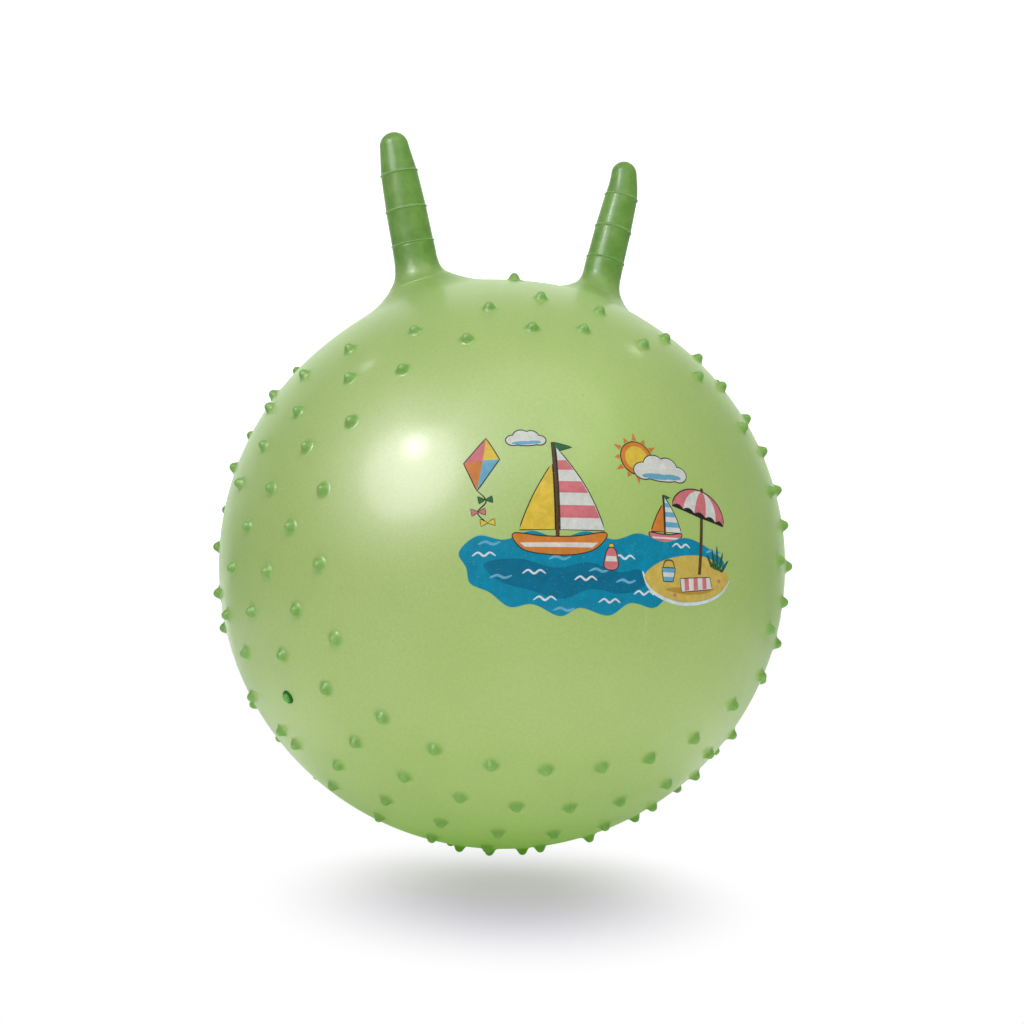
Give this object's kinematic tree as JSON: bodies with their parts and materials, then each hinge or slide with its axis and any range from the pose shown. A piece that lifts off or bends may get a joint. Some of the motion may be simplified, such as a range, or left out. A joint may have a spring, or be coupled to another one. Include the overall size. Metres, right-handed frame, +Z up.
{
  "type": "hopper ball",
  "caption": "Inflated play ball to sit and bounce on, with flexing ringed horn handles, raised nubs, a smooth front panel and a push-in valve plug.",
  "frame": {"origin": "on the floor under the ball's middle, at the tips of the standing nubs", "axes": "+Z up through the ball between the horns, the horns at +X and -X, the smooth picture panel facing -Y"},
  "size_m": [0.4568, 0.4498, 0.5642],
  "materials": {
    "skin": "pearly satin vinyl, slightly see-through at the rim",
    "nubs": "satin vinyl, a deeper green than the skin",
    "horn_necks": "satin vinyl",
    "horns": "satin vinyl, thick and deeper in colour",
    "plug": "glossy dark green"
  },
  "bodies": {
    "ball": {"ball_skin": "skin", "front_nubs": "nubs", "back_nubs": "nubs", "stand_nubs": "nubs", "left_horn_neck": "horn_necks", "right_horn_neck": "horn_necks", "valve_seat": "skin"},
    "left_root": {"left_horn_root": "horns"},
    "left_grip": {"left_horn_grip": "horns"},
    "right_root": {"right_horn_root": "horns"},
    "right_grip": {"right_horn_grip": "horns"},
    "plug": {"valve_plug": "plug"}
  },
  "joints": [
    {"name": "left_horn_pull", "type": "hinge", "parent": "ball", "child": "left_root", "pos_m": [-0.07489, 0, 0.45423], "axis": [1, 0, 0], "range_deg": [-20, 20], "stiffness_Nm_per_rad": 3},
    {"name": "left_horn_spread", "type": "hinge", "parent": "left_root", "child": "left_grip", "pos_m": [-0.08213, 0, 0.48534], "axis": [0, -1, 0], "range_deg": [-15, 15], "stiffness_Nm_per_rad": 3},
    {"name": "right_horn_pull", "type": "hinge", "parent": "ball", "child": "right_root", "pos_m": [0.07489, 0, 0.45423], "axis": [1, 0, 0], "range_deg": [-20, 20], "stiffness_Nm_per_rad": 3},
    {"name": "right_horn_spread", "type": "hinge", "parent": "right_root", "child": "right_grip", "pos_m": [0.08213, 0, 0.48534], "axis": [0, 1, 0], "range_deg": [-15, 15], "stiffness_Nm_per_rad": 3},
    {"name": "valve_pull", "type": "slide", "parent": "ball", "child": "plug", "axis": [-0.8178, -0.3692, -0.4415], "range_m": [0, 0.016]}
  ]
}
